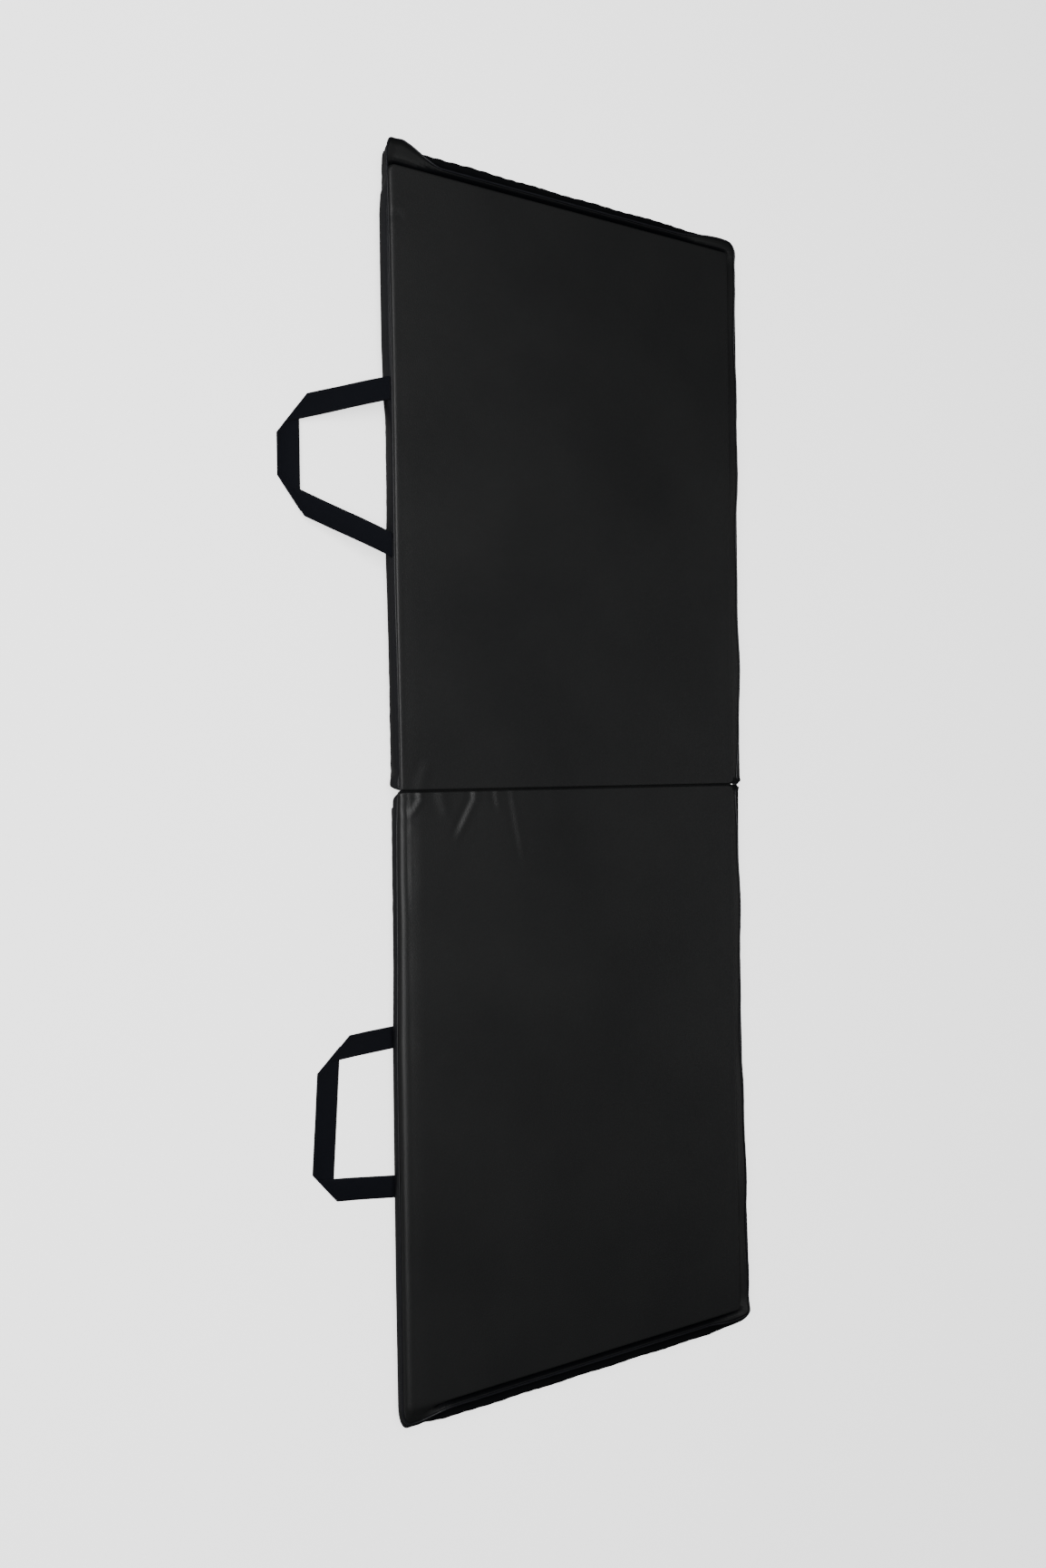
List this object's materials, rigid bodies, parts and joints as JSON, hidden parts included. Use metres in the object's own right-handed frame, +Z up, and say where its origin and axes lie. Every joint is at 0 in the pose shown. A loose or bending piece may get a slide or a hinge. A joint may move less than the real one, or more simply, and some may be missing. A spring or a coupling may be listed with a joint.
{
  "type": "folding exercise mat",
  "caption": "Padded two-panel floor mat in a sewn vinyl cover, folding face to face at the middle, with a webbing carry handle on each panel.",
  "frame": {"origin": "middle of the open mat's footprint on the floor, handles included", "axes": "+X along the mat from the left panel to the right panel, +Y across it away from the handles, +Z up from the floor; the padded face is up"},
  "size_m": [1.7998, 0.7782, 0.0458],
  "materials": {
    "cover": "satin",
    "cover_back": "matte",
    "welt": "satin",
    "foam": "matte",
    "webbing": "matte",
    "thread": "matte"
  },
  "bodies": {
    "left_panel": {"left_foam_core": "foam", "left_front_sheet": "cover", "left_back_sheet": "cover_back", "left_near_band": "cover", "left_end_band": "cover", "left_far_band": "cover", "left_fold_band": "cover", "left_front_welt": "welt", "left_back_welt": "welt", "left_handle_tails": "webbing", "fold_seam": "thread"},
    "right_panel": {"right_foam_core": "foam", "right_front_sheet": "cover", "right_back_sheet": "cover_back", "right_near_band": "cover", "right_end_band": "cover", "right_far_band": "cover", "right_fold_band": "cover", "right_front_welt": "welt", "right_back_welt": "welt", "right_handle_tails": "webbing"},
    "left_handle": {"left_handle": "webbing"},
    "right_handle": {"right_handle": "webbing"}
  },
  "joints": [
    {"name": "fold", "type": "hinge", "parent": "left_panel", "child": "right_panel", "pos_m": [0, 0, 0.0448], "axis": [0, -1, 0], "range_deg": [0, 180]},
    {"name": "left_handle_swing", "type": "hinge", "parent": "left_panel", "child": "left_handle", "pos_m": [0, -0.2419, 0.036], "axis": [-1, 0, 0], "range_deg": [0, 26]},
    {"name": "right_handle_swing", "type": "hinge", "parent": "right_panel", "child": "right_handle", "pos_m": [0, -0.23439, 0.0013], "axis": [-1, 0, 0], "range_deg": [0, 12]}
  ]
}
